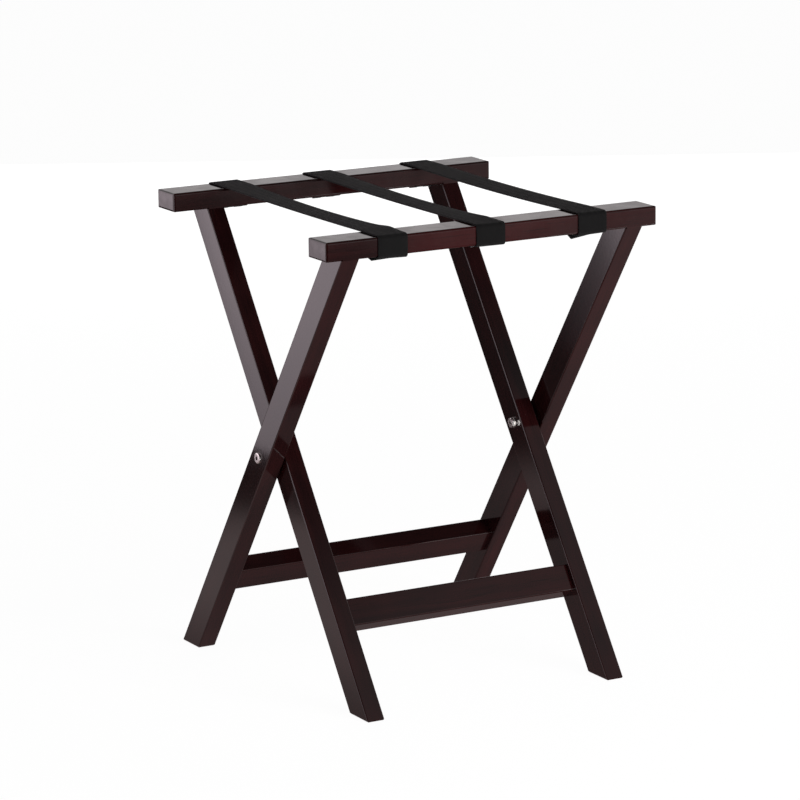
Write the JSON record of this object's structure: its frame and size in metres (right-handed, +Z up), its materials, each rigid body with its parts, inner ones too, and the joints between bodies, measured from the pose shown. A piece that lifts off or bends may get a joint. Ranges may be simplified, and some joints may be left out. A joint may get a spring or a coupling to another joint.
{
  "type": "folding luggage rack",
  "caption": "Folding wooden luggage rack: crossed-leg frames on pivot bolts, with webbing straps stretched over the top rails.",
  "frame": {"origin": "on the floor, midway between the four feet of the open rack", "axes": "+Z up, +X along the rails to the right, +Y from the front rail to the back rail"},
  "size_m": [0.403, 0.394, 0.5218],
  "materials": {
    "lacquered_wood": "dark red-brown stain under gloss lacquer",
    "dowel_wood": "bare beech",
    "plated_steel": "bright zinc plate",
    "nylon": "matte black",
    "webbing": "matte black woven webbing",
    "staple_steel": "plain galvanised wire"
  },
  "bodies": {
    "outer_frame": {"front_rail": "lacquered_wood", "outer_leg_left": "lacquered_wood", "outer_leg_right": "lacquered_wood", "back_stretcher": "lacquered_wood", "front_rail_dowels": "dowel_wood", "back_stretcher_dowels": "dowel_wood", "pivot_bolt_left": "plated_steel", "pivot_bolt_right": "plated_steel", "pivot_nut_left": "plated_steel", "pivot_nut_right": "plated_steel", "spacer_washer_left": "nylon", "spacer_washer_right": "nylon", "nut_washer_left": "plated_steel", "nut_washer_right": "plated_steel", "strap_left": "webbing", "strap_middle": "webbing", "strap_right": "webbing", "front_rail_staples": "staple_steel"},
    "inner_frame": {"back_rail": "lacquered_wood", "inner_leg_left": "lacquered_wood", "inner_leg_right": "lacquered_wood", "front_stretcher": "lacquered_wood", "back_rail_dowels": "dowel_wood", "front_stretcher_dowels": "dowel_wood", "back_rail_staples": "staple_steel"}
  },
  "joints": [
    {"name": "fold", "type": "hinge", "parent": "outer_frame", "child": "inner_frame", "pos_m": [0, 0, 0.2515], "axis": [1, 0, 0], "range_deg": [0, 58], "deforming": ["strap_left", "strap_middle", "strap_right"]}
  ]
}
